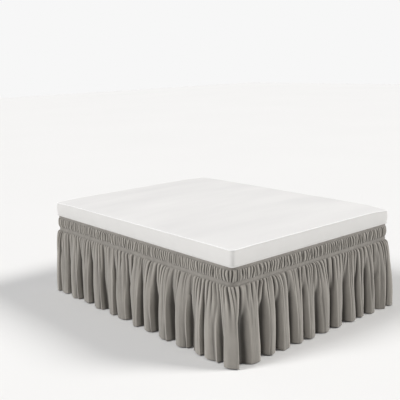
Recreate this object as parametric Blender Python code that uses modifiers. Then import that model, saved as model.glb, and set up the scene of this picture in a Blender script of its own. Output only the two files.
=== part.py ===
"""A gathered wrap-around bed skirt on a bed base with a thin mattress.

The skirt is one cloth: a narrow binding, a shirred heading, a smooth waist tape and four gathered
drops, one to a side.  Small gathers leave the tape and run together into the main folds of the hem.
Metres, +Z up, the head of the bed towards +Y, the origin on the floor under the middle of the bed.
"""
import math

import bmesh
import bpy
from mathutils import Vector

# the bed
BED_WIDTH = 1.52
BED_LENGTH = 2.03
CORNER_RADIUS = 0.05
BASE_CORNER_EASE = 0.002
BASE_TOP = 0.61
BASE_HEIGHT = 0.24
MATTRESS_THICKNESS = 0.109
MATTRESS_EDGE = 0.012
BOX_CORNER_STEPS = 6
BOX_EDGE_STEPS = 3
LEG_RADIUS = 0.025
LEG_SIDES = 16
LEG_INSET = 0.075
GAP = 0.0003

# the skirt's heading, from the top down
BINDING_HEIGHT = 0.020
HEADING_HEIGHT = 0.067
TAPE_HEIGHT = 0.031
BAND_THICKNESS = 0.003
PUCKER_COUNT = 226
PUCKER_RISE = 0.0045
PUCKER_SHIFT = 0.008
PUCKER_SHIFT_TURN = 1.31
PUCKER_WAVES = [
    # share of the rise, turn for each column in radians, start in radians
    (0.20, 0.83, 0.0),
    (0.14, 2.17, 1.0),
]
BAND_CORNER_STEPS = 6
HEADING_STAND_OFF = 0.0006

# the gathered drops
CLOTH_THICKNESS = 0.0016
HEM_HEIGHT = 0.006
HEM_WAVER = 0.003
HEM_WAVES_PER_METRE = 5.0
GATHER_UNEVENNESS = 0.25
GATHER_TURN = 2.9
SEAM_GAP = 0.002
COLUMNS_PER_FOLD = 8
SEAM_COLUMN = 4

TAPE_BOTTOM = BASE_TOP - BINDING_HEIGHT - HEADING_HEIGHT - TAPE_HEIGHT - 2 * GAP

# how far down the drop each row of points lies, and what the cloth does there: how far it stands
# off the bed, how high its small gathers stand, and how much of the main folds' depth it has
DROP_ROWS = [
    # share down, stand-off, gather, fold
    (0.00, 0.0055, 0.0032, 0.00),
    (0.07, 0.0145, 0.0078, 0.12),
    (0.20, 0.0190, 0.0052, 0.40),
    (0.44, 0.0210, 0.0022, 0.78),
    (0.72, 0.0215, 0.0008, 0.96),
    (1.00, 0.0220, 0.0000, 1.05),
]

# one main fold, from its crest through the valley after it to the next crest
FOLD_SHAPE = [1.0, 0.78, 0.05, -0.82, -1.0, -0.82, 0.05, 0.78]

# a fold wanders sideways on its way down, by up to this much either way
FOLD_LEAN = 0.012
LEAN_TURN = 5.1
LEAN_PIVOT = 0.3

# the crests of the main folds along each side, from the side's first corner, going round the bed
# anticlockwise seen from above; each side's first crest is the one that stands at that corner
FOOT_FOLDS = [
    # place, crest depth, valley depth
    (0.000, 0.030, 0.024),
    (0.135, 0.025, 0.022),
    (0.272, 0.024, 0.024),
    (0.396, 0.026, 0.020),
    (0.520, 0.023, 0.023),
    (0.639, 0.025, 0.021),
    (0.782, 0.027, 0.024),
    (0.931, 0.024, 0.022),
    (1.078, 0.026, 0.018),
    (1.181, 0.022, 0.024),
    (1.298, 0.025, 0.026),
    (1.428, 0.024, 0.019),
]
LEFT_FOLDS = [
    (0.000, 0.029, 0.018),
    (0.098, 0.021, 0.024),
    (0.252, 0.026, 0.021),
    (0.428, 0.025, 0.024),
    (0.584, 0.027, 0.022),
    (0.764, 0.023, 0.019),
    (0.886, 0.025, 0.025),
    (1.074, 0.026, 0.020),
    (1.214, 0.024, 0.026),
    (1.384, 0.027, 0.024),
    (1.569, 0.026, 0.025),
    (1.760, 0.024, 0.016),
    (1.850, 0.022, 0.022),
]

# the two hidden sides: how many folds each has, and where in the slow waves its unevenness starts
RIGHT_FOLD_COUNT = 13
RIGHT_PHASE = 0.8
HEAD_FOLD_COUNT = 12
HEAD_PHASE = 2.1
HIDDEN_DRIFT = 0.16
HIDDEN_DRIFT_TURN = 2.3
HIDDEN_CREST = 0.025
HIDDEN_VALLEY = 0.022
HIDDEN_SWELL = 0.002
HIDDEN_SWELL_TURN = 1.7


def remove_scene_objects():
    for item in list(bpy.data.objects):
        bpy.data.objects.remove(item, do_unlink=True)


def make_collection(name):
    collection = bpy.data.collections.new(name)
    bpy.context.scene.collection.children.link(collection)
    return collection


def make_material(name, colour, roughness):
    material = bpy.data.materials.new(name)
    material.use_nodes = True
    shader = material.node_tree.nodes["Principled BSDF"]
    shader.inputs["Base Color"].default_value = (*colour, 1.0)
    shader.inputs["Roughness"].default_value = roughness
    shader.inputs["Metallic"].default_value = 0.0
    return material


def add_object(collection, name, mesh, material):
    item = bpy.data.objects.new(name, mesh)
    item.data.materials.append(material)
    collection.objects.link(item)
    return item


def hidden_folds(side_length, count, phase):
    """Rows of a fold table for a side with nearly even folds: slow waves shift and deepen them."""
    rows = []
    for index in range(count):
        drift = HIDDEN_DRIFT * math.sin(HIDDEN_DRIFT_TURN * index + phase) if index else 0.0
        swell = HIDDEN_SWELL * math.sin(HIDDEN_SWELL_TURN * index + phase)
        rows.append((side_length * (index + drift) / count, HIDDEN_CREST + swell, HIDDEN_VALLEY - swell))
    return rows


# each side in turn: its length, its first corner as signs of X and Y, its way along and its outward way
SIDES = {
    "foot": (BED_WIDTH, (-1, -1), (1, 0), (0, -1), FOOT_FOLDS),
    "right": (BED_LENGTH, (1, -1), (0, 1), (1, 0), hidden_folds(BED_LENGTH, RIGHT_FOLD_COUNT, RIGHT_PHASE)),
    "head": (BED_WIDTH, (1, 1), (-1, 0), (0, 1), hidden_folds(BED_WIDTH, HEAD_FOLD_COUNT, HEAD_PHASE)),
    "left": (BED_LENGTH, (-1, 1), (0, -1), (-1, 0), LEFT_FOLDS),
}
SIDE_ORDER = ["foot", "right", "head", "left"]


def outline_point(side, place, stand_off):
    """A point beside the bed's rounded outline, in plan.

    The place is measured along the side between the middles of its two rounded corners, scaled so
    that the whole side has the bed's full length; the point stands off the outline, outwards.
    """
    length, corner, along, outward, _ = SIDES[side]
    half_arc = CORNER_RADIUS * math.pi / 4
    straight = length - 2 * CORNER_RADIUS
    walk = place / length * (straight + 2 * half_arc)
    turn = 0.0
    if walk < half_arc:
        turn = (walk - half_arc) / CORNER_RADIUS
    elif walk > half_arc + straight:
        turn = (walk - half_arc - straight) / CORNER_RADIUS
    run = min(max(walk - half_arc, 0.0), straight)
    start = Vector((corner[0] * BED_WIDTH / 2, corner[1] * BED_LENGTH / 2))
    along = Vector(along)
    outward = Vector(outward)
    direction = outward * math.cos(turn) + along * math.sin(turn)
    centre = start + along * (CORNER_RADIUS + run) - outward * CORNER_RADIUS
    return centre + direction * (CORNER_RADIUS + stand_off)


def grid_mesh(name, points, closed):
    """A mesh of quads on rows of points; a closed one joins its last column to its first.

    Rows run downwards and columns anticlockwise round the bed, so the faces look outwards.
    """
    row_count = len(points)
    column_count = len(points[0])
    vertices = [tuple(point) for row in points for point in row]
    faces = []
    for row in range(row_count - 1):
        for column in range(column_count if closed else column_count - 1):
            following = (column + 1) % column_count
            upper = row * column_count
            lower = upper + column_count
            faces.append((upper + column, lower + column, lower + following, upper + following))
    mesh = bpy.data.meshes.new(name)
    mesh.from_pydata(vertices, [], faces)
    return mesh


def thicken(item, thickness, offset):
    solidify = item.modifiers.new("cloth", "SOLIDIFY")
    solidify.thickness = thickness
    solidify.offset = offset
    return item


def band_columns():
    """Side and place of each column of a plain band: the corners in short steps, the sides in one."""
    columns = []
    for side in SIDE_ORDER:
        length = SIDES[side][0]
        arc = CORNER_RADIUS * math.pi / 2
        share = length / (length - 2 * CORNER_RADIUS + arc)
        for step in range(BAND_CORNER_STEPS // 2 + 1):
            columns.append((side, step * arc / BAND_CORNER_STEPS * share))
        for step in range(BAND_CORNER_STEPS // 2, 0, -1):
            columns.append((side, length - step * arc / BAND_CORNER_STEPS * share))
    return columns


def make_band(collection, name, top, height, material):
    """A plain elastic band round the bed, standing off it by the fitting gap."""
    points = []
    for level in (top, top - height):
        row = [outline_point(side, place, GAP) for side, place in band_columns()]
        points.append([(point.x, point.y, level) for point in row])
    item = add_object(collection, name, grid_mesh(name, points, closed=True), material)
    return thicken(item, BAND_THICKNESS, 1.0)


def make_heading(collection, top, material):
    """The shirred band: a flat-backed ring whose front rises in spindle-shaped puckers.

    Each pucker has a ridge and a furrow between the two elastics; ridges differ a little in height,
    by two waves that run round the bed out of step with each other.
    """
    name = "shirred_heading"
    perimeter = 2 * (BED_WIDTH + BED_LENGTH)
    middle = top - HEADING_HEIGHT / 2
    bottom = top - HEADING_HEIGHT
    face = HEADING_STAND_OFF + BAND_THICKNESS
    section_rows = [[], [], [], [], []]
    for column in range(2 * PUCKER_COUNT):
        distance = column * perimeter / (2 * PUCKER_COUNT)
        side = ""
        for side in SIDE_ORDER:
            if distance < SIDES[side][0]:
                break
            distance -= SIDES[side][0]
        uneven = 1.0 + sum(share * math.sin(turn * column + start) for share, turn, start in PUCKER_WAVES)
        rise = PUCKER_RISE * uneven if column % 2 == 0 else 0.0
        waist = middle + PUCKER_SHIFT * math.sin(PUCKER_SHIFT_TURN * column)
        levels = [top, top, waist, bottom, bottom]
        stand_offs = [HEADING_STAND_OFF, face, face + rise, face, HEADING_STAND_OFF]
        for row, level, stand_off in zip(section_rows, levels, stand_offs):
            point = outline_point(side, distance, stand_off)
            row.append((point.x, point.y, level))
    section_rows.append(section_rows[0])
    mesh = grid_mesh(name, section_rows, closed=True)
    weld_rows(mesh)
    return add_object(collection, name, mesh, material)


def weld_rows(mesh):
    """Joins the repeated first row of a ring's section, so that the ring closes on itself."""
    shape = bmesh.new()
    shape.from_mesh(mesh)
    bmesh.ops.remove_doubles(shape, verts=shape.verts, dist=1e-5)
    shape.to_mesh(mesh)
    shape.free()


def fold_columns(side):
    """Every column of a side's drop: its place along the side, fold depth, gather sign and lean."""
    length, _, _, _, folds = SIDES[side]
    columns = []
    for index, (place, crest, valley) in enumerate(folds):
        last = index + 1 == len(folds)
        next_place = length if last else folds[index + 1][0]
        next_crest = folds[0][1] if last else folds[index + 1][1]
        for step in range(COLUMNS_PER_FOLD):
            share = step / COLUMNS_PER_FOLD
            form = FOLD_SHAPE[step]
            ahead = crest if step < SEAM_COLUMN else next_crest
            depth = form * ahead if form > 0 else form * valley
            sign = 1.0 if step % 2 == 0 else -1.0
            lean = FOLD_LEAN * math.sin(LEAN_TURN * (index + share))
            columns.append((side, place + share * (next_place - place), depth, sign, lean))
    return columns


def make_drop(collection, side, material):
    """One side's gathered drop, from the valley after its first corner to that after the next."""
    following = SIDE_ORDER[(SIDE_ORDER.index(side) + 1) % len(SIDE_ORDER)]
    columns = fold_columns(side)[SEAM_COLUMN:] + fold_columns(following)[:SEAM_COLUMN + 1]
    top = TAPE_BOTTOM - 2 * GAP
    points = []
    for share, stand_off, gather, fold in DROP_ROWS:
        row = []
        for index, (column_side, place, depth, sign, lean) in enumerate(columns):
            waver = HEM_WAVER * math.sin(2 * math.pi * HEM_WAVES_PER_METRE * place) * share
            level = top - share * (top - HEM_HEIGHT - HEM_WAVER) + waver
            uneven = 1.0 + GATHER_UNEVENNESS * math.sin(GATHER_TURN * index)
            reach = stand_off + fold * depth + gather * sign * uneven
            place += lean * (share - LEAN_PIVOT)
            if index == 0:
                place += SEAM_GAP / 2
            if index == len(columns) - 1:
                place -= SEAM_GAP / 2
            point = outline_point(column_side, place, reach)
            row.append((point.x, point.y, level))
        points.append(row)
    name = "drop_" + side
    item = add_object(collection, name, grid_mesh(name, points, closed=False), material)
    return thicken(item, CLOTH_THICKNESS, 0.0)


def edge_rise(edge):
    return abs(edge.verts[0].co.z - edge.verts[1].co.z)


def make_rounded_box(collection, name, bottom, top, corner, edge, material):
    """A box with the bed's plan and rounded corners, its top and bottom edges softened."""
    mesh = bpy.data.meshes.new(name)
    shape = bmesh.new()
    bmesh.ops.create_cube(shape, size=1.0)
    size = Vector((BED_WIDTH, BED_LENGTH, top - bottom))
    bmesh.ops.scale(shape, vec=size, verts=shape.verts)
    bmesh.ops.translate(shape, vec=(0.0, 0.0, (bottom + top) / 2), verts=shape.verts)
    upright = [item for item in shape.edges if edge_rise(item) > size.z / 2]
    bmesh.ops.bevel(shape, geom=upright, offset=corner, segments=BOX_CORNER_STEPS, profile=0.5,
                    affect="EDGES")
    if edge > 0:
        rims = [item for item in shape.edges if edge_rise(item) < size.z / 2]
        bmesh.ops.bevel(shape, geom=rims, offset=edge, segments=BOX_EDGE_STEPS, profile=0.5,
                        affect="EDGES")
    shape.to_mesh(mesh)
    shape.free()
    return add_object(collection, name, mesh, material)


def make_leg(collection, name, x, y, height, material):
    mesh = bpy.data.meshes.new(name)
    shape = bmesh.new()
    bmesh.ops.create_cone(shape, cap_ends=True, segments=LEG_SIDES, radius1=LEG_RADIUS,
                          radius2=LEG_RADIUS, depth=height)
    shape.to_mesh(mesh)
    shape.free()
    item = add_object(collection, name, mesh, material)
    item.location = (x, y, height / 2)
    return item


def build():
    remove_scene_objects()
    collection = make_collection("bed skirt on a bed base with mattress")
    cloth = make_material("grey-taupe woven cloth", (0.27, 0.255, 0.235), 0.9)
    ticking = make_material("white mattress cover", (0.83, 0.82, 0.80), 0.85)
    lining = make_material("grey base cover", (0.32, 0.31, 0.30), 0.9)
    wood = make_material("dark wood", (0.06, 0.045, 0.035), 0.5)

    half_width = BED_WIDTH / 2
    half_length = BED_LENGTH / 2
    base_bottom = BASE_TOP - BASE_HEIGHT
    base_corner = CORNER_RADIUS + BASE_CORNER_EASE
    mattress_top = BASE_TOP + MATTRESS_THICKNESS
    make_rounded_box(collection, "bed_base", base_bottom, BASE_TOP - GAP, base_corner, 0.0, lining)
    make_rounded_box(collection, "mattress", BASE_TOP, mattress_top, CORNER_RADIUS, MATTRESS_EDGE, ticking)
    for end, y in (("foot", -1), ("head", 1)):
        for hand, x in (("left", -1), ("right", 1)):
            make_leg(collection, "leg_" + end + "_" + hand, x * (half_width - LEG_INSET),
                     y * (half_length - LEG_INSET), base_bottom - GAP, wood)

    heading_top = BASE_TOP - BINDING_HEIGHT - GAP
    tape_top = heading_top - HEADING_HEIGHT - GAP
    make_band(collection, "top_binding", BASE_TOP, BINDING_HEIGHT, cloth)
    make_heading(collection, heading_top, cloth)
    make_band(collection, "waist_tape", tape_top, TAPE_HEIGHT, cloth)
    for side in SIDE_ORDER:
        make_drop(collection, side, cloth)


build()
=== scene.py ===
import math

import bpy
import numpy as np
from mathutils import Matrix, Vector


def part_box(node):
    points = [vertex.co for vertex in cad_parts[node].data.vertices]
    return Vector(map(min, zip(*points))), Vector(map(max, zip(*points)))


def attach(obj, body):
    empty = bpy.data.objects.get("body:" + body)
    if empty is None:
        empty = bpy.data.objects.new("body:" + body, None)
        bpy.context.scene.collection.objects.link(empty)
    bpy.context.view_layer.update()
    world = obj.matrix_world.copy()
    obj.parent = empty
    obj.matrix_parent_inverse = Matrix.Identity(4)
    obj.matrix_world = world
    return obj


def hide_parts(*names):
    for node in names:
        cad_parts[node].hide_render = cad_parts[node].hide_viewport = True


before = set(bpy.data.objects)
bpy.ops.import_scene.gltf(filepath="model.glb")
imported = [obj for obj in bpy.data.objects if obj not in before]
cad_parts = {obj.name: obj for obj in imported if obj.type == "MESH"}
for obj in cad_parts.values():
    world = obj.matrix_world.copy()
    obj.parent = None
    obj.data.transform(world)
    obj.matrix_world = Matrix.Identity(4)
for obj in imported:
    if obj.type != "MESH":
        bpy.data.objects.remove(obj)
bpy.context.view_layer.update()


# ---- The studio: a camera, the soft light of two windows, and a bright room round them. ----
# The camera stands off the bed's near corner at eye height and looks a little down along the bed.
# One window lies beyond the left side, towards the head, the other off the right of the foot.

CAMERA_PLACE = (-3.3846, -3.8516, 1.8128)
CAMERA_YAW = math.radians(40.198)
CAMERA_PITCH = math.radians(11.636)
CAMERA_ROLL = math.radians(-1.625)
CAMERA_LENS = 62.84
SENSOR_WIDTH = 36.0
WINDOW_SPREAD = math.radians(20)
HORIZON_COLOUR = (0.93, 0.93, 0.93)
OVERHEAD_COLOUR = (0.23, 0.23, 0.234)


def camera_axes(yaw, pitch, roll):
    """Right, up and back directions of a camera: yaw from +Y towards +X, pitch down, then roll."""
    ahead = Vector((math.sin(yaw) * math.cos(pitch), math.cos(yaw) * math.cos(pitch), -math.sin(pitch)))
    right = Vector((math.cos(yaw), -math.sin(yaw), 0.0))
    up = right.cross(ahead)
    return (right * math.cos(roll) + up * math.sin(roll), up * math.cos(roll) - right * math.sin(roll),
            -ahead)


camera = bpy.data.objects.new("camera", bpy.data.cameras.new("camera"))
bpy.context.collection.objects.link(camera)
camera.data.lens = CAMERA_LENS
camera.data.sensor_width = SENSOR_WIDTH
camera.matrix_world = Matrix.Translation(CAMERA_PLACE) @ Matrix(
    camera_axes(CAMERA_YAW, CAMERA_PITCH, CAMERA_ROLL)).transposed().to_4x4()
bpy.context.scene.camera = camera
bpy.context.scene.view_settings.view_transform = "Standard"


def add_daylight(name, turn, height, strength, colour):
    """Light from one direction: turn degrees anticlockwise from the foot, height degrees above level."""
    light = bpy.data.lights.new(name, "SUN")
    light.energy = strength
    light.color = colour
    light.angle = WINDOW_SPREAD
    holder = bpy.data.objects.new(name, light)
    bpy.context.collection.objects.link(holder)
    holder.rotation_euler = (math.radians(90 - height), 0.0, math.radians(turn))


add_daylight("left window", turn=-110, height=40, strength=2.15, colour=(1.0, 0.995, 0.985))
add_daylight("right window", turn=46, height=40, strength=2.25, colour=(1.0, 0.985, 0.96))


class Wire:
    """One value in a material. Arithmetic on it adds Math nodes; node() adds any other node."""

    def __init__(self, tree, socket):
        self.tree = tree
        self.socket = socket

    def node(self, kind, settings, sockets, output=0):
        """Adds a node, sets its settings, fills its sockets with values or links, gives an output."""
        made = self.tree.nodes.new(kind)
        for name, value in settings.items():
            setattr(made, name, value)
        for name, value in sockets.items():
            if isinstance(value, Wire):
                self.tree.links.new(value.socket, made.inputs[name])
            else:
                made.inputs[name].default_value = value
        return Wire(self.tree, made.outputs[output])

    def maths(self, operation, first, second=0.0):
        """A Math node's answer on one or two values."""
        return self.node("ShaderNodeMath", {"operation": operation}, {0: first, 1: second})

    def __add__(self, other):
        return self.maths("ADD", self, other)

    def __sub__(self, other):
        return self.maths("SUBTRACT", self, other)

    def __mul__(self, other):
        return self.maths("MULTIPLY", self, other)

    def __rsub__(self, other):
        return self.maths("SUBTRACT", other, self)

    __radd__ = __add__
    __rmul__ = __mul__

    def sine(self):
        return self.maths("SINE", self)

    def noise(self, scale, detail):
        """Soft noise from 0 to 1 over this vector, with so many swells to a metre."""
        return self.node("ShaderNodeTexNoise", {"noise_dimensions": "3D"},
                         {"Vector": self, "Scale": scale, "Detail": detail})

    def stretched(self, scale):
        """This vector with its axes scaled: a pattern on it is drawn out along an axis of small scale."""
        return self.node("ShaderNodeMapping", {"vector_type": "POINT"}, {"Vector": self, "Scale": scale})

    def axis(self, index):
        """One coordinate of this vector."""
        return self.node("ShaderNodeSeparateXYZ", {}, {"Vector": self}, index)

    def mix(self, low_colour, high_colour):
        """The colour this share of the way from one to another, each fixed or a Wire, held to 0 to 1."""
        ends = [end if isinstance(end, Wire) else (*end, 1.0) for end in (low_colour, high_colour)]
        return self.node("ShaderNodeMix", {"data_type": "RGBA"}, {0: self, 6: ends[0], 7: ends[1]}, 2)


# the room is brightest along its horizon, behind the bed, and greyer overhead
world = bpy.data.worlds.new("bright room")
world.use_nodes = True
bpy.context.scene.world = world
room = Wire(world.node_tree, None)
upward = room.node("ShaderNodeTexCoord", {}, {}).axis(2)
overhead = room.node("ShaderNodeMapRange", {"interpolation_type": "SMOOTHSTEP"},
                     {"Value": upward, "From Min": 0.08, "From Max": 0.24})
room_colour = overhead.mix(HORIZON_COLOUR, OVERHEAD_COLOUR)
world.node_tree.links.new(room_colour.socket, world.node_tree.nodes["Background"].inputs["Color"])


# ---- The bed base and its legs: a covered box on four turned legs, all hidden by the skirt. ----
# They keep their solids and only get a plain woven cover and a dark stained wood.

WOOD_GRAIN_STRETCH = (1.0, 1.0, 0.08)


def start_finish(name, roughness):
    """A new material with its shader's steady values set; returns it, its shader and a first Wire."""
    material = bpy.data.materials.new(name)
    material.use_nodes = True
    shader = material.node_tree.nodes["Principled BSDF"]
    shader.inputs["Roughness"].default_value = roughness
    return material, shader, Wire(material.node_tree, None)


def coordinates(wire, output):
    """Texture coordinates of one kind, such as Object or UV, as a vector Wire."""
    made = wire.tree.nodes.new("ShaderNodeTexCoord")
    return Wire(wire.tree, made.outputs[output])


def finish_with(shader, colour, height, depth):
    """Links a colour, and a relief of the given depth in metres, to the shader."""
    colour.tree.links.new(colour.socket, shader.inputs["Base Color"])
    bump = colour.node("ShaderNodeBump", {}, {"Height": height, "Distance": depth, "Strength": 1.0})
    colour.tree.links.new(bump.socket, shader.inputs["Normal"])


base_cover, base_shader, base_wire = start_finish("grey base cover", 0.9)
base_place = coordinates(base_wire, "Object")
base_grain = base_place.noise(900.0, 2.0)
finish_with(base_shader, (base_grain * 0.6 + base_place.noise(6.0, 2.0) * 0.4).mix(
    (0.26, 0.25, 0.24), (0.36, 0.35, 0.34)), base_grain, 0.0004)

stained_wood, wood_shader, wood_wire = start_finish("dark stained wood", 0.45)
wood_grain = coordinates(wood_wire, "Object").stretched(WOOD_GRAIN_STRETCH).noise(140.0, 4.0)
finish_with(wood_shader, wood_grain.mix((0.035, 0.024, 0.018), (0.10, 0.068, 0.045)), wood_grain, 0.0003)

for node, finish in [("bed_base", base_cover), ("leg_foot_left", stained_wood),
                     ("leg_foot_right", stained_wood), ("leg_head_left", stained_wood),
                     ("leg_head_right", stained_wood)]:
    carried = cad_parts[node]
    carried.data.materials.clear()
    carried.data.materials.append(finish)


# ---- The two plain elastic bands: flat tapes of the skirt's own cloth, with elastic in them. ----
# Each is a thin ring with a softly rounded section, sewn to the heading's top or bottom edge,
# ruched a little by its elastic and held by rows of stitches.

BAND_ROWS = 12
BAND_COLUMNS = 1400
BAND_WEAVE = (1.1, 0.05)  # metres of pattern to a metre of the band, and over its height
BAND_THICKNESS = 0.003
BAND_EDGE = 0.0008  # the stand-off of its two edges from the base
BAND_BACK = 0.0004  # the stand-off of its back
BAND_WAVER = 0.0006
RUCHE_PITCH = 0.0085
RUCHE_RISE = 0.00035
RUCHE_SWELL = 0.0005
STITCH_GROOVE = 0.0007
STITCH_WIDTH = 0.05  # a share of the band's height
CORNER_RADIUS = 0.05

# a place is metres round the bed: foot, right, head and left side, each counted at its full length
base_low, base_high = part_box("bed_base")
BED_WIDTH = base_high[0] - base_low[0]
BED_LENGTH = base_high[1] - base_low[1]
SIDE_LENGTHS = np.array([BED_WIDTH, BED_LENGTH, BED_WIDTH, BED_LENGTH])
SIDE_STARTS = np.concatenate([[0.0], np.cumsum(SIDE_LENGTHS)])
ROUND = SIDE_STARTS[4]
SIDE_CORNERS = np.array([[-1, -1], [1, -1], [1, 1], [-1, 1]]) * [BED_WIDTH / 2, BED_LENGTH / 2]
SIDE_ALONG = np.array([[1, 0], [0, 1], [-1, 0], [0, -1]])
SIDE_OUTWARD = np.array([[0, -1], [1, 0], [0, 1], [-1, 0]])


def woven_cloth(name, light, dark, deep, thread, relief):
    """Brushed plain weave: warp and weft cross over and under on the piece's own UV, in metres.

    The weave is the product of two sines a thread pitch apart. Noise drawn out along the warp gives
    the fine creases that the cloth keeps from its gathering, in the relief and as painted shade in the
    colour; broad noise makes the colour drift. The mesh's hollow value, 1 deep in a fold, 0 on flat
    cloth and -1 along a sharp ridge, paints shade into the colour, towards the deep colour, in the
    folds, and paints a highlight, a paler light colour, along the ridges.
    """
    material, shader, wire = start_finish(name, 0.92)
    shader.inputs["Sheen Weight"].default_value = 0.2
    shader.inputs["Sheen Roughness"].default_value = 0.6
    # painted highlight: a paler copy of the light colour, laid on sharp ridges where the hollow value is
    # below 0
    painted_ridge_highlight = [1.35 * value for value in light]
    flat = coordinates(wire, "UV")
    turn = 2 * math.pi / thread
    weave = (flat.axis(0) * turn).sine() * (flat.axis(1) * turn).sine()
    crease = flat.stretched((1.0, 0.20, 1.0)).noise(75.0, 3.0)
    drift = flat.noise(7.0, 3.0)
    nap = flat.noise(420.0, 2.0)
    # tone that drifts at random, with painted shade along the fine creases from the crease noise
    tone_and_crease_shade = drift * 1.1 + crease * 0.38 + nap * 0.35 + weave * 0.05 - 0.415
    # painted shade: where the hollow value is above 0 the colour is mixed towards the deep colour of the
    # folds
    hollow = wire.node("ShaderNodeAttribute", {"attribute_name": "hollow"}, {}, 2)
    in_folds = hollow.mix(tone_and_crease_shade.mix(dark, light), deep)
    finish_with(shader, (hollow * -1.0).mix(in_folds, painted_ridge_highlight), weave * 0.04 + nap * 0.1 + crease, relief)
    return material


# deep is the colour of the shade painted deep in the folds
skirt_cloth = woven_cloth("grey-taupe brushed cloth", light=(0.300, 0.281, 0.253),
                          dark=(0.185, 0.172, 0.154), deep=(0.060, 0.054, 0.046),
                          thread=0.0011, relief=0.0024)


def evenly_round(columns):
    """Places of so many columns, evenly round the bed."""
    return np.arange(columns) * ROUND / columns


def round_bed(place, stand_off, radius=CORNER_RADIUS):
    """Points in plan beside the bed: a straight run along each side, joined by quarter turns.

    place is metres round the bed and stand_off metres out from the base; both are arrays. Each side
    runs from the middle of one corner's arc to the middle of the next, scaled to its full length.
    """
    place = np.mod(place, ROUND)
    side = np.clip(np.searchsorted(SIDE_STARTS, place, side="right") - 1, 0, 3)
    length = SIDE_LENGTHS[side]
    half_arc = radius * math.pi / 4
    straight = length - 2 * radius
    walk = (place - SIDE_STARTS[side]) / length * (straight + 2 * half_arc)
    turn = (np.minimum(walk - half_arc, 0) + np.maximum(walk - half_arc - straight, 0)) / radius
    run = np.clip(walk - half_arc, 0, straight)
    along, outward = SIDE_ALONG[side], SIDE_OUTWARD[side]
    direction = outward * np.cos(turn)[..., None] + along * np.sin(turn)[..., None]
    centre = SIDE_CORNERS[side] + along * (radius + run)[..., None] - outward * radius
    return centre + direction * (radius + stand_off)[..., None]


def eased(share):
    """0 up to 0 and 1 from 1 on, rising along half a cosine wave between."""
    return (1 - np.cos(math.pi * np.clip(share, 0, 1))) / 2


def smooth_noise(length, knots, seed):
    """A ring of smooth random values from -1 to 1: random knots joined by cosine easing."""
    values = np.random.RandomState(seed).uniform(-1, 1, knots)
    position = np.arange(length) * knots / length
    knot = position.astype(int)
    ease = eased(position - knot)
    return values[knot % knots] * (1 - ease) + values[(knot + 1) % knots] * ease


def ring_faces(rows, columns, closed_rows=False):
    """Quads of a grid whose last column joins its first, and with closed_rows its last row too."""
    row = np.arange(rows if closed_rows else rows - 1)[:, None]
    column = np.arange(columns)[None, :]
    next_row, next_column = (row + 1) % rows, (column + 1) % columns
    corners = [row * columns + column, next_row * columns + column,
               next_row * columns + next_column, row * columns + next_column]
    return np.stack(corners, -1).reshape(-1, 4)


def new_piece(name, points, faces, flat=None, period=None, hollow=None):
    """A smooth mesh object from arrays; flat gives each point's UV in metres.

    On a ring, the faces that join its end to its start have their first UVs moved on by its period.
    """
    mesh = bpy.data.meshes.new(name)
    mesh.from_pydata(points.reshape(-1, 3).tolist(), [], faces.tolist())
    mesh.polygons.foreach_set("use_smooth", np.ones(len(faces), dtype=bool))
    if flat is not None:
        corners = flat.reshape(-1, 2)[faces]
        if period is not None:
            start_again = corners[..., 0] < corners[..., 0].max(1, keepdims=True) - period / 2
            corners[..., 0] += np.where(start_again, period, 0.0)
        layer = mesh.uv_layers.new(name="cloth metres")
        layer.data.foreach_set("uv", corners.astype(np.float32).ravel())
    if hollow is not None:
        values = mesh.attributes.new("hollow", "FLOAT", "POINT")
        values.data.foreach_set("value", hollow.astype(np.float32).ravel())
    piece = bpy.data.objects.new(name, mesh)
    bpy.context.collection.objects.link(piece)
    return piece


def with_height(plan, height):
    """Points from their plan and their height."""
    return np.concatenate([plan, height[..., None]], -1)


def sewn_band(name, node, front, back, hollow, weave):
    """Closes a band's front with two rows of flat back, and makes it a piece of the skirt.

    back is how far the back stands off the base and hollow has a row for each row of points. weave
    gives the metres of pattern to a metre of the band, and those over its height.
    """
    columns = front.shape[1]
    bottom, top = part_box(node)[0][2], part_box(node)[1][2]
    place = np.broadcast_to(evenly_round(columns), (2, columns))
    back_height = np.array([bottom, top])[:, None] + np.zeros((2, columns))
    back_face = with_height(round_bed(place, np.full((2, columns), back)), back_height)
    points = np.concatenate([front, back_face])
    flat = np.stack(np.meshgrid(place[0] * weave[0], np.linspace(0, weave[1], len(points))), -1)
    faces = ring_faces(len(points), columns, closed_rows=True)
    band = new_piece(name, points, faces, flat, ROUND * weave[0], hollow)
    band.data.materials.append(skirt_cloth)
    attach(band, "root")
    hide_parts(node)


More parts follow.
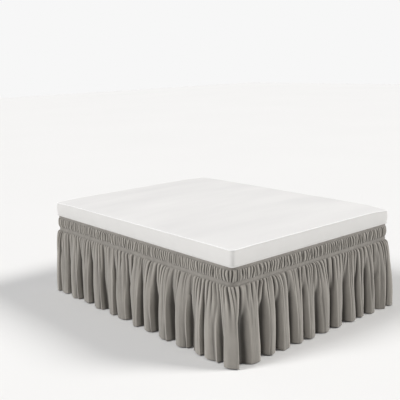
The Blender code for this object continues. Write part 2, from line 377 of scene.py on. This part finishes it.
def elastic_band(name, node, stitch_rows, seed):
    """A flat tape round the bed: a section of rows, ruched by its elastic.

    The front bows out by a power of a sine over its height; the ruching is a fine wave along the
    band whose strength comes and goes; each row of stitches, a share of the height down, presses a
    narrow bell-shaped groove. The two edges waver.
    """
    bottom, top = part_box(node)[0][2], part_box(node)[1][2]
    levels = np.linspace(0.0, 1.0, BAND_ROWS)
    bow = np.sin(math.pi * levels) ** 0.35
    swell = smooth_noise(BAND_COLUMNS, 230, seed)
    pitch = RUCHE_PITCH * (1 + 0.25 * smooth_noise(BAND_COLUMNS, 90, seed + 1))
    turns = np.cumsum(1 / pitch)
    wave = np.sin(2 * math.pi * np.round(turns[-1] * ROUND / BAND_COLUMNS) * turns / turns[-1])
    ruche = (RUCHE_RISE * wave * (0.6 + 0.4 * swell)
             + RUCHE_SWELL * smooth_noise(BAND_COLUMNS, 160, seed + 2))
    groove = sum(np.exp(-((levels - row) / STITCH_WIDTH) ** 2) for row in stitch_rows)
    stand_off = BAND_EDGE + (BAND_THICKNESS - BAND_EDGE) * bow[:, None] - STITCH_GROOVE * groove[:, None]
    stand_off = stand_off + ruche * np.sin(math.pi * levels)[:, None]
    waver = BAND_WAVER * smooth_noise(BAND_COLUMNS, 300, seed + 3)
    height = top + (bottom - top) * levels[:, None] + waver * (1 - 2 * levels)[:, None]
    front = round_bed(np.broadcast_to(evenly_round(BAND_COLUMNS), stand_off.shape), stand_off)
    tone = 0.04 + 0.10 * smooth_noise(BAND_COLUMNS, 330, seed + 4)
    sewn_band(name, node, with_height(front, height), back=BAND_BACK,
              hollow=np.broadcast_to(tone, (BAND_ROWS + 2, BAND_COLUMNS)),
              weave=BAND_WEAVE)


elastic_band("top_binding_tape", "top_binding", stitch_rows=[0.28, 0.78], seed=3)
elastic_band("waist_tape_band", "waist_tape", stitch_rows=[0.15, 0.85], seed=11)


# ---- The shirred heading: cloth gathered between the two elastics, so it stands up in puckers. ----
# Each pucker is a narrow ridge, pinched at both ends and leaning a little, with a slit beside it.
# The band is cut 1.3 times as long as the way round, and its edges lap over both elastics.

HEADING_ROWS = 20
HEADING_COLUMNS = 2800
HEADING_WEAVE = (1.4, 0.09)
HEADING_EDGE = 0.0032  # the stand-off of its two edges from the base
HEADING_BOW = 0.0078  # what its middle adds to that, apart from the puckers
HEADING_LEAST = 0.0018  # the least stand-off, at the bottom of a slit
HEADING_BACK = 0.0006
HEADING_LAP = 0.003
HEADING_LAP_WAVER = 0.002
PUCKER_LEAN = 0.006
PUCKER_BEND = 0.005
PUCKER_CURL = 0.003
PUCKERS = [
    # pitch, slits' least and greatest depth, ridges' rise, power of the arch between slits
    (0.0210, (0.003, 0.014), 0.0060, 2.2),
    (0.0095, (0.0, 0.0032), 0.0014, 2.0),
]


def uneven(count, jitter, random):
    """Places round the bed, one near the start of each equal share of it, moved by up to the jitter."""
    return (np.arange(count) + random.uniform(-jitter, jitter, count)) * ROUND / count


def drawn_up(place, slits, depths, ridges, power):
    """Cloth drawn up between slits: it arches from each slit to the next, so the slits are sharp.

    With u running from -1 at one slit to 1 at the next, the cloth stands up by the ridge's height
    times 1 - |u|^power and dips by the nearer slit's depth times |u|^power. slits are places round
    the bed in rising order; depths and ridges have a row for each level and a column for each slit.
    """
    left = (np.searchsorted(slits, place, side="right") - 1) % len(slits)
    right = (left + 1) % len(slits)
    gap = np.mod(slits[right] - slits[left], ROUND)
    u = 2 * np.mod(place - slits[left], ROUND) / gap - 1
    share = np.abs(u) ** power
    return ridges[:, left] * (1 - share) - np.where(u < 0, depths[:, left], depths[:, right]) * share


def hollows(stand_off, reach, depth):
    """How far each point lies behind the average of its neighbours within reach, as a share of depth."""
    columns = stand_off.shape[1]
    width = max(1, int(reach / ROUND * columns))
    total = np.cumsum(np.concatenate([stand_off[:, -width:], stand_off, stand_off[:, :width]], 1), 1)
    before = np.concatenate([np.zeros((len(total), 1)), total[:, :-2 * width - 1]], 1)
    return ((total[:, 2 * width:] - before) / (2 * width + 1) - stand_off) / depth


def shirred_band(name, node, seed):
    """The heading: cloth that stands up between uneven slits and lies down on both elastics.

    The band bows out by a power of a sine over its height, and the puckers are drawn_up on that bow.
    Every slit has its own depth and stretch of the height, a finer set rides on the first, and all
    of them lean, bend and curl aside by sines over the height. The two edges waver.
    """
    bottom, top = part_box(node)[0][2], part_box(node)[1][2]
    random = np.random.RandomState(seed)
    place = evenly_round(HEADING_COLUMNS)
    down = eased(np.linspace(0.0, 1.0, HEADING_ROWS)[:, None])
    puckers = 0.0
    for pitch, depth, rise, power in PUCKERS:
        count = int(ROUND / pitch)
        centre = random.uniform(0.0, 1.0, count)
        stretch = random.uniform(0.5, 2.0, count)
        opened = np.clip(1 - np.abs((down - centre) / stretch) ** 2.5, 0, 1)
        ridges = rise * random.uniform(0.0, 1.0, count) * np.ones_like(down)
        slits = uneven(count, 0.40, random)
        depths = random.uniform(*depth, count) * opened
        puckers = puckers + drawn_up(place, slits, depths, ridges, power)
    arch = np.sin(math.pi * down) ** 0.45
    stand_off = np.maximum(HEADING_EDGE + arch * (HEADING_BOW + puckers), HEADING_LEAST)
    bend = [smooth_noise(HEADING_COLUMNS, knots, seed + knots) for knots in (150, 190, 230)]
    aside = (PUCKER_LEAN * bend[0] * np.cos(math.pi * down)
             + PUCKER_BEND * bend[1] * np.sin(math.pi * down)
             + PUCKER_CURL * bend[2] * np.sin(2 * math.pi * down))
    upper_lap = HEADING_LAP + HEADING_LAP_WAVER * smooth_noise(HEADING_COLUMNS, 260, seed + 2)
    lower_lap = HEADING_LAP + HEADING_LAP_WAVER * smooth_noise(HEADING_COLUMNS, 260, seed + 3)
    height = top + upper_lap + (bottom - lower_lap - top - upper_lap) * down
    # painted shade and highlight on the heading: slits darkened, ridges paled, and the whole band painted
    # a little darker by the added 0.12
    hollow = np.clip(hollows(stand_off, reach=0.014, depth=0.0020) + 0.12, -0.7, 1)
    front = with_height(round_bed(place + aside, stand_off), height)
    sewn_band(name, node, front, back=HEADING_BACK,
              hollow=np.concatenate([hollow, np.zeros((2, HEADING_COLUMNS))]),
              weave=HEADING_WEAVE)


shirred_band("shirred_heading_band", "shirred_heading", seed=21)


# ---- The drops: one long strip of cloth gathered onto the waist tape and falling to the hem. ----
# Small gathers leave the tape and run together into broad folds that lean and open downwards.
# The brushed cloth is cut into four drops, each sewn to the next in the valley just past a corner.

FULLNESS = 1.6
DROP_COLUMNS = 3200
DROP_ROWS = 46
CLOTH_THICKNESS = 0.0012
CLOTH_EDGE_ANGLE = math.radians(60)
HEM_CLEARANCE = 0.003
HEM_WAVER = 0.003
TAPE_LAP = 0.003
TAPE_LAP_WAVER = 0.0015

# main folds of the foot and of the left side, each from its crest, in metres from the side's start
FOOT_FOLDS = [
    # place, crest depth, valley depth
    (0.000, 0.050, 0.008),
    (0.112, 0.030, 0.024),
    (0.272, 0.024, 0.024),
    (0.396, 0.026, 0.020),
    (0.520, 0.023, 0.023),
    (0.639, 0.025, 0.021),
    (0.782, 0.027, 0.024),
    (0.931, 0.024, 0.022),
    (1.078, 0.026, 0.018),
    (1.181, 0.022, 0.024),
    (1.298, 0.025, 0.026),
    (1.428, 0.024, 0.019),
]
LEFT_FOLDS = [
    # place, crest depth, valley depth
    (0.000, 0.034, 0.018),
    (0.098, 0.026, 0.024),
    (0.252, 0.031, 0.021),
    (0.428, 0.030, 0.024),
    (0.584, 0.032, 0.022),
    (0.764, 0.028, 0.019),
    (0.886, 0.030, 0.025),
    (1.074, 0.031, 0.020),
    (1.214, 0.029, 0.026),
    (1.384, 0.032, 0.024),
    (1.569, 0.031, 0.025),
    (1.760, 0.029, 0.016),
    (1.850, 0.027, 0.022),
]
RIGHT_OF_FOOT_CREST = 0.046
RIGHT_FOLD_COUNT = 13
HEAD_FOLD_COUNT = 12

# stand-offs from the base: of the seam on the tape, what the gathers add to it just under the tape
# and the folds lower down, of a slit's back at the tape, the one that valley depths count back from,
# and the least that cloth may have beside the base
SEAM_OFF = 0.0032
GATHERS_OFF = 0.0078
CRESTS_OFF = 0.0121
BACK_OFF = 0.0030
VALLEYS_OFF = 0.020
LEAST_OFF = 0.0020
MOST_BULGE = 0.020
DEEPEST_TUCK = 0.022

# how far the cloth strays aside: broadly and finely just under the tape, and to and fro lower down
BROAD_SLANT = 0.030
FINE_SLANT = 0.006
SWING = 0.010

# a fold's cloth, as shares: level crest, fall, valley floor, climb and level crest end at these
CLOTH_KNOTS = [0.0, 0.34, 0.48, 0.60, 0.84, 1.0]

# pitch of the gathers under the tape, and where more of them sit on either side of each corner
GATHER_PITCH = 0.034
FINE_GATHER_PITCH = 0.015
CORNER_GATHERS = [-0.027, -0.009, 0.010, 0.029]


def even_folds(length, count, phase):
    """A hidden side's folds: nearly even, shifted and deepened by slow waves."""
    index = np.arange(count)
    drift = np.where(index > 0, 0.16 * np.sin(2.3 * index + phase), 0.0)
    swell = 0.002 * np.sin(1.7 * index + phase)
    return np.stack([length * (index + drift) / count, 0.025 + swell, 0.022 - swell], -1)


right_folds = even_folds(BED_LENGTH, RIGHT_FOLD_COUNT, 0.8)
right_folds[0, 1] = RIGHT_OF_FOOT_CREST
head_folds = even_folds(BED_WIDTH, HEAD_FOLD_COUNT, 2.1)
folds = np.concatenate([table + [start, 0, 0] for table, start in zip(
    [np.array(FOOT_FOLDS), right_folds, head_folds, np.array(LEFT_FOLDS)], SIDE_STARTS)])
fold_start, fold_crest, fold_valley = folds.T
fold_width = np.diff(np.append(fold_start, ROUND))

# the strip's grid: levels down the drop and places along it, with each column's fold, the share of
# the fold's cloth that lies before it, and the side of the bed that its fold hangs on
levels = np.linspace(0.0, 1.0, DROP_ROWS) ** 1.35
down = levels[:, None]
even = evenly_round(DROP_COLUMNS)
fold_of = np.searchsorted(fold_start, even, side="right") - 1
next_fold = (fold_of + 1) % len(folds)
share = (even - fold_start[fold_of]) / fold_width[fold_of]
side = (np.searchsorted(SIDE_STARTS, fold_start + 1e-6, side="right") - 1)[fold_of]


def by_fold(random, least, most):
    """One random value for each fold, given to all of the fold's columns."""
    return random.uniform(least, most, len(folds))[fold_of]


def by_side(foot, right, head, left):
    """One value for each side of the bed, given to all of the side's columns."""
    return np.array([foot, right, head, left])[side]


def hang_across(random):
    """Where each column hangs across its fold, how far back, and how level the cloth is there.

    Across a fold, 0 is its crest and 1 the next one. The columns are even under the tape. On the way
    down they crowd together on the steep fall after the crest, and spread over the valley's floor
    and the gentle climb to the next crest, by straight-line pieces. How far the cloth lies behind
    the crests runs from 0 to 1: it is a narrow slit under the tape and turns into the wide valley,
    with walls of half a cosine wave. Level cloth is 1 on crest and floor and 0 halfway up a wall.
    """
    middle = by_fold(random, 0.43, 0.52)
    fall = by_fold(random, 0.05, 0.10)
    # the near corner's crest is the narrower for valleys that come closer on both sides of it
    middle = middle + 0.10 * (fold_of == len(folds) - 1) - 0.08 * (fold_of == 0)
    half_floor = by_fold(random, 0.06, 0.13) + by_side(0.01, 0.0, 0.0, -0.025)
    climb = by_fold(random, 0.14, 0.26) + by_side(0.13, 0.05, 0.02, 0.0)
    climb = np.minimum(climb, 0.96 - middle - half_floor)
    hung_knots = [0 * share, middle - half_floor - fall, middle - half_floor, middle + half_floor,
                  middle + half_floor + climb, 0 * share + 1]
    pieces = [np.clip((share - begin) / (end - begin), 0, 1)
              for begin, end in zip(CLOTH_KNOTS, CLOTH_KNOTS[1:])]
    hung = sum(piece * (end - begin) for piece, begin, end in zip(pieces, hung_knots, hung_knots[1:]))
    full_at = by_fold(random, 0.6, 0.9) + by_side(-0.28, 0.0, 0.0, 0.0)
    opened = np.minimum(down / full_at, 1) ** by_fold(random, 0.8, 1.2)
    wide = eased(pieces[1]) * (1 - eased(pieces[3]))
    across = share + (hung - share) * opened
    behind = np.exp(-np.abs((share - 0.5) / 0.06) ** 1.5) * (1 - opened) + wide * opened
    return across, behind, 1 - 4 * wide * (1 - wide)


def gather_places(random):
    """Where the gathers' slits sit along the strip: the main ones, in rising order, and the fine ones.

    Every fold has an odd number of main slits, moved aside at random but for the middle one, which
    heads the valley. Four more pinch the cloth round each corner.
    """
    number = 2 * np.round((fold_width / GATHER_PITCH - 1) / 2).astype(int) + 1
    main = []
    for first, width, many in zip(fold_start, fold_width, number):
        index = np.arange(many)
        aside = random.uniform(-0.38, 0.38, many) * (index != many // 2)
        main.append(first + width * (index + 0.5 + aside) / many)
    at_corners = SIDE_STARTS[:4, None] + CORNER_GATHERS + random.uniform(-0.004, 0.004, (4, 4))
    main = np.sort(np.concatenate(main + [at_corners.ravel()]) % ROUND)
    return main, uneven(int(ROUND / FINE_GATHER_PITCH), 0.40, random)


def gathers(slits, depth, length, rise, power, seed):
    """Gathers under the tape: slits and ridges that fade as a bell on the way down.

    Each slit has its own depth, more often near the least than the most, and its own length as a
    share of the drop.
    """
    random = np.random.RandomState(seed)
    shallow, deep = depth
    depths = shallow + (deep - shallow) * random.uniform(0, 1, len(slits)) ** 1.6
    depths = depths * np.exp(-(down / random.uniform(*length, len(slits))) ** 2)
    ridges = rise * random.uniform(0.0, 1.0, len(slits)) * np.exp(-(down / 0.28) ** 2)
    return drawn_up(even, slits, depths, ridges, power)


def facets(count, bands, seed):
    """Creased cloth: random values at uneven knots along the strip, joined by straight lines.

    Each of the bands down the drop has its own values, and one band eases into the next.
    """
    random = np.random.RandomState(seed)
    knots = uneven(count, 0.35, random)
    values = random.uniform(-1, 1, (bands + 1, count))
    lines = np.array([np.interp(even, knots, row, period=ROUND) for row in values])
    level = np.minimum(levels * bands, bands - 1e-6)
    step = level.astype(int)
    ease = eased(level - step)[:, None]
    return lines[step] * (1 - ease) + lines[step + 1] * ease


def wandering():
    """How far the cloth swings aside on its way down, from -1 to 1: noise at three levels, joined."""
    wander = np.array([smooth_noise(DROP_COLUMNS, 100, 50 + level) for level in range(3)])
    half = np.minimum(levels * 2, 2 - 1e-6)
    step = half.astype(int)
    return wander[step] + (wander[step + 1] - wander[step]) * (half - step)[:, None]


def gathered_strip():
    """The strip as it hangs: gathers under the tape that give way to broad, leaning folds.

    A fold's front leaves the tape, swells at once and grows out to its crest's depth; it tilts as a
    whole and falls off with the square of the distance from the crest. The cloth lies between that
    front and the valley's back, which tucks further in under the base. Gathers, and facets of three
    sizes, are added to it. Under the tape everything slants, and lower down it swings aside. Returns
    the points, the metres of cloth from the tape to each level, and how hollow each point is, which
    is the mask of the shade painted into slits and valleys and of the highlight painted on ridges.
    """
    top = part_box("drop_foot")[1][2]
    random = np.random.RandomState(5)
    across, behind, level_cloth = hang_across(random)

    growth = 1 - (1 - np.minimum(down / 0.9, 1)) ** 2.0
    crest_of = np.where(share < 0.5, fold_of, next_fold)
    from_crest = np.where(share < 0.5, across, across - 1) * fold_width[fold_of]
    lean = random.uniform(-0.02, 0.30, len(folds))[crest_of]
    tilt = lean * from_crest * (1 - behind) * growth
    bulge = by_fold(random, 4.0, 9.0) * from_crest ** 2 * (1 - behind) * growth
    front = (SEAM_OFF + GATHERS_OFF * (1 - np.exp(-down / 0.014)) + CRESTS_OFF * growth
             + growth * fold_crest[crest_of] + tilt - np.minimum(bulge, MOST_BULGE))
    back = BACK_OFF * (1 - growth) + growth * (VALLEYS_OFF - fold_valley[fold_of])
    tuck = by_fold(random, 0.0, DEEPEST_TUCK) * np.clip((down - 0.27) / 0.30, 0, 1)

    opening = 1 - np.exp(-down / 0.010)
    main_slits, fine_slits = gather_places(random)
    main_gathers = gathers(main_slits, depth=(0.002, 0.024), length=(0.08, 0.50), rise=0.0085,
                           power=2.4, seed=41)
    fine_gathers = gathers(fine_slits, depth=(0.000, 0.005), length=(0.04, 0.20), rise=0.0020,
                           power=2.0, seed=42)
    out = (front - behind * (front - back + tuck) + opening * main_gathers + opening * fine_gathers
           + (opening * 0.0040 + growth * 0.0045) * facets(count=190, bands=2, seed=43)
           + opening * level_cloth * 0.0026 * facets(count=330, bands=3, seed=44)
           + opening * level_cloth * 0.0008 * facets(count=700, bands=6, seed=45))

    lap = TAPE_LAP + TAPE_LAP_WAVER * smooth_noise(DROP_COLUMNS, 260, 35)
    hem = HEM_CLEARANCE + HEM_WAVER * (1 + smooth_noise(DROP_COLUMNS, 110, 37))
    height = top + lap - (top + lap - hem) * down
    out = np.where(height > base_low[2] - 0.01, np.maximum(out, LEAST_OFF), out)
    slant = (BROAD_SLANT * smooth_noise(DROP_COLUMNS, 36, 34) * np.exp(-down / 0.13)
             + FINE_SLANT * smooth_noise(DROP_COLUMNS, 140, 36) * np.exp(-down / 0.08))
    swing = SWING * wandering() * np.minimum(down / 0.15, 1)
    place = fold_start[fold_of] + across * fold_width[fold_of] + slant + swing

    # painted shade and highlight: the hollow mask darkens the slits between the gathers and, a little,
    # the broad valleys, and its negative part pales the ridges
    in_gathers = np.clip(hollows(out, reach=0.018, depth=0.0050), -0.8, 1)
    in_valleys = np.clip(hollows(out, reach=0.050, depth=0.030), 0, 1)
    hollow = in_gathers * 0.9 + in_valleys * 0.10
    # the painted shade is made deeper on the foot and weaker on the left side
    hollow = hollow * np.where(hollow > 0, by_side(1.2, 1.0, 1.0, 0.8), 1.0)
    points = with_height(round_bed(place, out), height)
    return points, levels * (top - HEM_CLEARANCE), np.clip(hollow, -1, 1)


def grid_normals(points):
    """Unit normals of a ring's grid: the cross product of its steps down and along, facing outwards."""
    along = np.roll(points, -1, 1) - np.roll(points, 1, 1)
    normals = np.cross(np.gradient(points, axis=0), along)
    return normals / np.linalg.norm(normals, axis=2, keepdims=True)


def cloth_faces(rows, columns):
    """Quads of a sheet with two faces: the outer grid, the inner grid turned over, and their edge."""
    count = rows * columns
    number = np.arange(count).reshape(rows, columns)
    corners = [number[:-1, :-1], number[1:, :-1], number[1:, 1:], number[:-1, 1:]]
    outer = np.stack(corners, -1).reshape(-1, 4)
    inner = outer[:, [0, 3, 2, 1]] + count
    border = np.concatenate([number[0], number[1:, -1], number[-1, -2::-1], number[-2::-1, 0]])
    edge = np.stack([border[:-1], border[1:], border[1:] + count, border[:-1] + count], -1)
    return np.concatenate([outer, inner, edge])


def cut_drops(points, depths, hollow):
    """Cuts the strip into four drops beside each corner; each is two faces of cloth and their edge.

    The outer face is the strip moved out by half the cloth's thickness and the inner face the strip
    moved in; a band of quads closes them all the way round.
    """
    columns = points.shape[1]
    offset = grid_normals(points) * CLOTH_THICKNESS / 2
    seams = []
    for side_start in SIDE_STARTS[:4]:
        first = np.searchsorted(fold_start, side_start - 1e-6)
        seam = (fold_start[first] + fold_start[(first + 1) % len(folds)]) / 2
        seams.append(int(round(seam / ROUND * columns)))
    seams.append(seams[0] + columns)
    for name, begin, end in zip(["foot", "right", "head", "left"], seams, seams[1:]):
        strip = np.arange(begin, end + 1)
        picked = strip % columns
        two_faces = np.stack([(points + offset)[:, picked], (points - offset)[:, picked]])
        along = strip * ROUND / columns * FULLNESS
        flat = np.stack(np.meshgrid(along, -depths), -1)
        drop = new_piece("drop_" + name + "_cloth", two_faces, cloth_faces(len(points), len(picked)),
                         flat=np.stack([flat, flat]), hollow=np.stack([hollow[:, picked]] * 2))
        drop.data.set_sharp_from_angle(angle=CLOTH_EDGE_ANGLE)
        drop.data.materials.append(skirt_cloth)
        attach(drop, "root")
        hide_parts("drop_" + name)


cut_drops(*gathered_strip())


# ---- The mattress: a thin white foam mattress in a close cover, with a border round its sides. ----
# Its top crowns softly and dips at the corners, its border bows a little between the two pipings.

MATTRESS_COLUMNS = 420
MATTRESS_RADIUS = 0.020
MATTRESS_EDGE = 0.006
UNDER_ROWS = 7
LOWER_EDGE_ROWS = 6
BORDER_ROWS = 13
UPPER_EDGE_ROWS = 5
TOP_ROWS = 41
TICKING_OVER_EDGE_ROWS = 3
BORDER_BOW = 0.004
CROWN = 0.014
TOP_CREASE = 0.0012
DROOP_REACH = 0.13
DROOP_RIGHT_OF_FOOT = 0.014
DROOP_NEAR = 0.002
DROOP_AT_HEAD = 0.007
mattress_low, mattress_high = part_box("mattress")
MATTRESS_THICKNESS = mattress_high[2] - mattress_low[2]
HALF_BED = np.array([BED_WIDTH / 2, BED_LENGTH / 2])

ticking, ticking_shader, ticking_wire = start_finish("white mattress cover", 0.8)
ticking_place = coordinates(ticking_wire, "Object")
ticking_grain = ticking_place.noise(700.0, 2.0)
# painted light and shade: broad pale and grey streaks across the top, like those of shallow wrinkles
painted_wrinkle_streaks = ticking_place.stretched((0.28, 1.0, 1.0)).noise(4.5, 2.0)
finish_with(ticking_shader, (ticking_grain * 0.25 + painted_wrinkle_streaks * 1.5 - 0.375).mix(
    (0.70, 0.695, 0.695), (0.785, 0.78, 0.775)), ticking_grain, 0.0003)

# painted shade: the border is the same white cover painted darker than the top, for the less light its
# sides take
shaded_border_cover, border_shader, border_wire = start_finish("white mattress border with painted shade", 0.85)
border_place = coordinates(border_wire, "Object")
border_grain = border_place.noise(700.0, 2.0)
finish_with(border_shader, (border_grain * 0.35 + border_place.noise(9.0, 3.0) * 0.65).mix(
    (0.63, 0.622, 0.61), (0.70, 0.692, 0.68)), border_grain, 0.0003)


def corner_droop(outline):
    """How far the soft cover sinks towards each corner, in metres, as a bell round the corner.

    The corner over the right of the foot sinks most and the near corner least.
    """
    away = np.abs(outline) - HALF_BED
    bell = np.exp(-(away ** 2).sum(1) / DROOP_REACH ** 2)
    at_foot, at_left, at_right = outline[:, 1] < 0, outline[:, 0] < 0, outline[:, 0] > 0
    return bell * np.select([at_foot & at_right, at_foot & at_left],
                            [DROOP_RIGHT_OF_FOOT, DROOP_NEAR], DROOP_AT_HEAD)


def mattress_rim():
    """The mattress's outline in plan, a row of points."""
    return round_bed(evenly_round(MATTRESS_COLUMNS), np.zeros(MATTRESS_COLUMNS), MATTRESS_RADIUS)


def mattress_body():
    """Rows from the middle of the underside, up the border, to the middle of the top.

    A row is the outline times a share and drawn in by an inset. Quarter rounds join the underside
    and the top to the border, which bows out by a sine over its height. The top's height is a crown
    that falls to the edge as 1 - |x|^4 times 1 - |y|^4, with long shallow creases across the bed.
    """
    edge = MATTRESS_EDGE
    rim = mattress_rim()
    quarter = np.linspace(0.0, 1.0, LOWER_EDGE_ROWS + 1)[1:] * math.pi / 2
    border = np.linspace(0.0, 1.0, BORDER_ROWS + 1)[1:]
    under = np.linspace(0.0, 1.0, UNDER_ROWS + 1)[:-1]
    shares = np.concatenate([under, np.ones(LOWER_EDGE_ROWS + BORDER_ROWS)])
    insets = np.concatenate([np.full(UNDER_ROWS, edge), edge * (1 - np.sin(quarter)),
                             -BORDER_BOW * np.sin(math.pi * border)])
    heights = np.concatenate([np.zeros(UNDER_ROWS), edge * (1 - np.cos(quarter)),
                              edge + (MATTRESS_THICKNESS - 2 * edge) * border])
    rows = []
    for share_out, inset, height in zip(shares, insets, heights):
        outline = rim * share_out
        level = mattress_low[2] + height - corner_droop(outline) * (height / MATTRESS_THICKNESS) ** 2
        rows.append(with_height(outline * (1 - inset / HALF_BED), level))
    for angle in np.linspace(0.0, math.pi / 2, UPPER_EDGE_ROWS + 1)[1:]:
        level = mattress_high[2] - edge + edge * math.sin(angle) - corner_droop(rim)
        rows.append(with_height(rim * (1 - edge * (1 - math.cos(angle)) / HALF_BED), level))
    lip = rows[-1][:, :2]
    for share_out in 1 - np.linspace(0.0, 1.0, TOP_ROWS + 1)[1:] ** 1.5:
        outline = lip * share_out
        across, along = (outline / HALF_BED).T
        crown = CROWN * (1 - np.abs(across) ** 4) * (1 - np.abs(along) ** 4)
        crease = TOP_CREASE * np.sin(11 * outline[:, 1] + 1.5 * np.sin(3 * outline[:, 0]))
        crease = crease * (1 - share_out ** 6)
        rows.append(with_height(outline, mattress_high[2] + crown + crease - corner_droop(outline)))
    return np.array(rows)


# rows that go upwards have their faces turned over, so that these point outwards
body_points = mattress_body()
body_faces = ring_faces(len(body_points), MATTRESS_COLUMNS)[:, ::-1]
mattress_piece = new_piece("mattress_body", body_points, body_faces)
mattress_piece.data.materials.append(ticking)
mattress_piece.data.materials.append(shaded_border_cover)
ticking_begins = len(body_points) - TOP_ROWS - TICKING_OVER_EDGE_ROWS
of_border = np.arange(len(body_faces)) // MATTRESS_COLUMNS < ticking_begins
mattress_piece.data.polygons.foreach_set("material_index", of_border.astype(int))
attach(mattress_piece, "root")
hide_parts("mattress")


# ---- The two pipings: cords in a white cover, sewn into the seams over and under the border. ----
# They are part of the mattress's cover, and the top one sinks with the mattress's corners.

PIPING_STAND_OFF = 0.0015
PIPING_POINTS = 10

piping_cover, piping_shader, piping_wire = start_finish("white piping cover", 0.7)
piping_grain = coordinates(piping_wire, "Object").noise(500.0, 2.0)
finish_with(piping_shader, piping_grain.mix((0.88, 0.88, 0.88), (0.93, 0.93, 0.93)), piping_grain, 0.0002)


def piping(name, height, radius, cover, sunk):
    """A covered cord in an edge seam: a circle of points carried round the mattress's outline.

    sunk is how far each of its columns lies below the height, in metres.
    """
    angle = np.linspace(0, 2 * math.pi, PIPING_POINTS, endpoint=False)[:, None]
    stand_off = PIPING_STAND_OFF + radius * np.cos(angle) + np.zeros((1, MATTRESS_COLUMNS))
    level = height - sunk + radius * np.sin(angle)
    place = np.broadcast_to(evenly_round(MATTRESS_COLUMNS), stand_off.shape)
    points = with_height(round_bed(place, stand_off, MATTRESS_RADIUS), level)
    cord = new_piece(name, points, ring_faces(len(points), MATTRESS_COLUMNS, closed_rows=True)[:, ::-1])
    cord.data.materials.append(cover)
    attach(cord, "root")


piping("mattress_piping_top", height=mattress_high[2] - 0.0025, radius=0.0030, cover=piping_cover,
       sunk=corner_droop(mattress_rim()))
# the bottom piping is covered in the border's cloth, with the same painted shade
piping("mattress_piping_bottom", height=mattress_low[2] + 0.0030, radius=0.0028, cover=shaded_border_cover,
       sunk=np.zeros(MATTRESS_COLUMNS))


# ---- The floor: a plain pale studio floor, painted and matt. ----
# It is a single large square under everything, a little uneven in tone.

FLOOR_HALF = 30.0
floor_points = np.array([[-1, -1, 0], [1, -1, 0], [1, 1, 0], [-1, 1, 0]]) * FLOOR_HALF
floor = new_piece("studio_floor", floor_points, np.array([[0, 1, 2, 3]]))
floor_paint, floor_shader, floor_wire = start_finish("pale studio floor", 0.9)
floor_tone = coordinates(floor_wire, "Object").noise(0.4, 1.0)
finish_with(floor_shader, floor_tone.mix((0.81, 0.81, 0.81), (0.83, 0.83, 0.83)), floor_tone, 0.0)
floor.data.materials.append(floor_paint)
